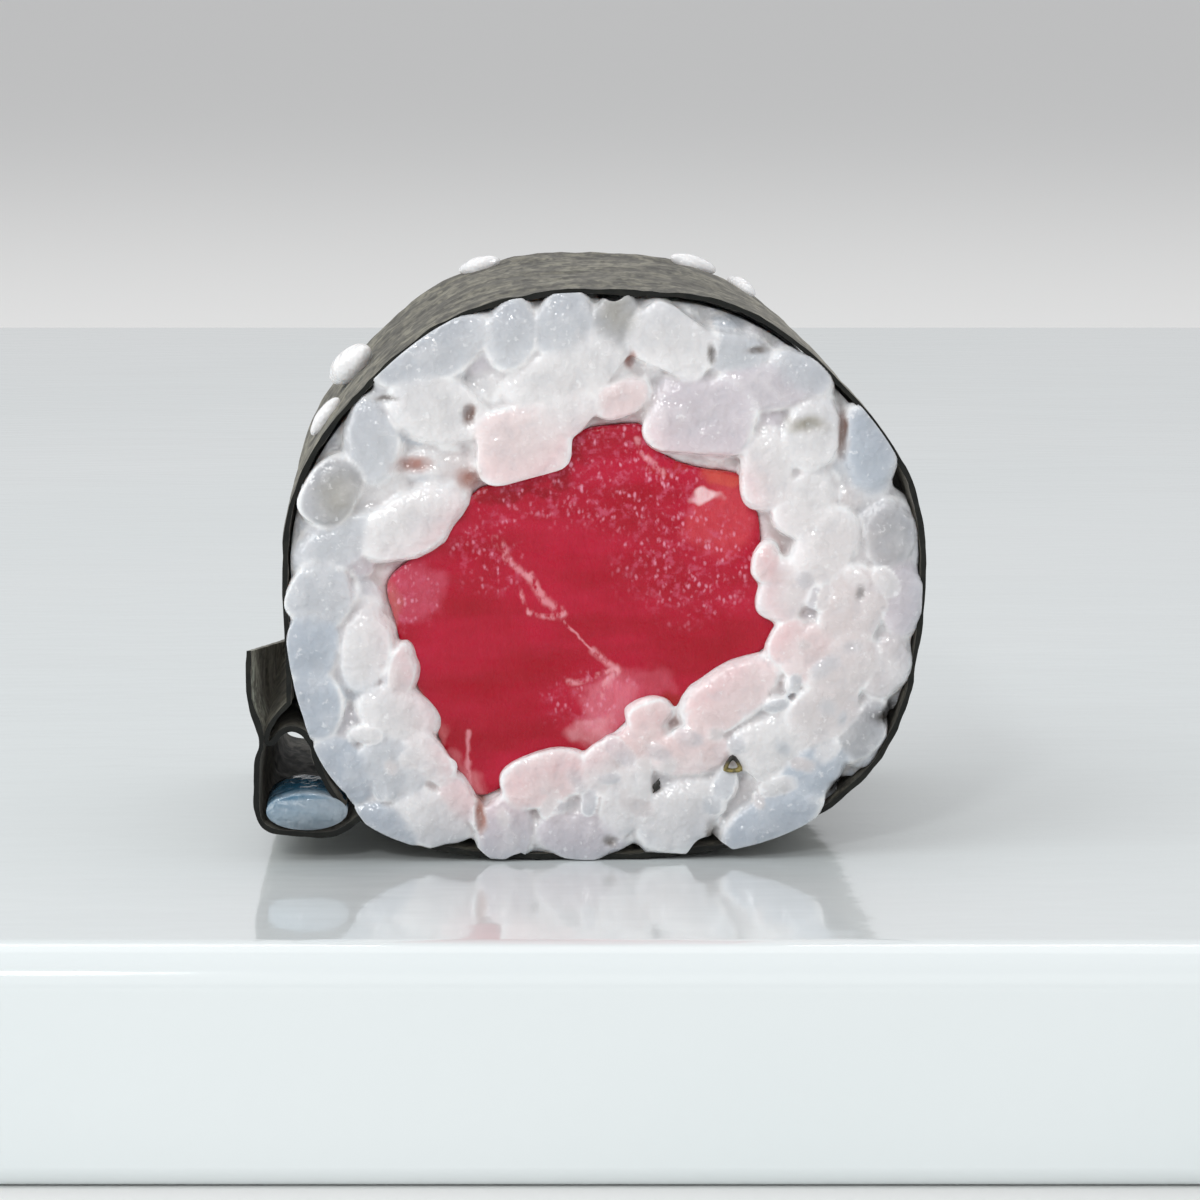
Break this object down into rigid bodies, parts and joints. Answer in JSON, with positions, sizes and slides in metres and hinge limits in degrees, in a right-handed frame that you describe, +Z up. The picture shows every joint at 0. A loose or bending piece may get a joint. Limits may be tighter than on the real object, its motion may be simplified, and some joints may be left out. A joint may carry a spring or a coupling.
{
  "type": "maki sushi roll on a plate",
  "caption": "Cut piece of tuna maki roll lying on its side, with nori, rice and a tuna core, near the front end of a thick flat rectangular white plate.",
  "frame": {"origin": "middle of the plate's underside, on the surface that the plate stands on", "axes": "+Z up; +Y along the plate's length, away from the roll's end; +X to the right, seen from the roll's end"},
  "size_m": [0.14, 0.268, 0.0354],
  "materials": {
    "glaze": "glossy white glazed porcelain, faintly blue",
    "nori": "dark green-black dried seaweed sheet with a grey mottled sheen",
    "rice": "moist translucent white cooked rice",
    "tuna": "wet crimson raw tuna",
    "cut_grain": "cut end of a rice grain, bluish and translucent"
  },
  "bodies": {
    "root": {"plate": "glaze", "nori": "nori", "rice": "rice", "tuna": "tuna", "fold_grain": "cut_grain"}
  },
  "joints": []
}
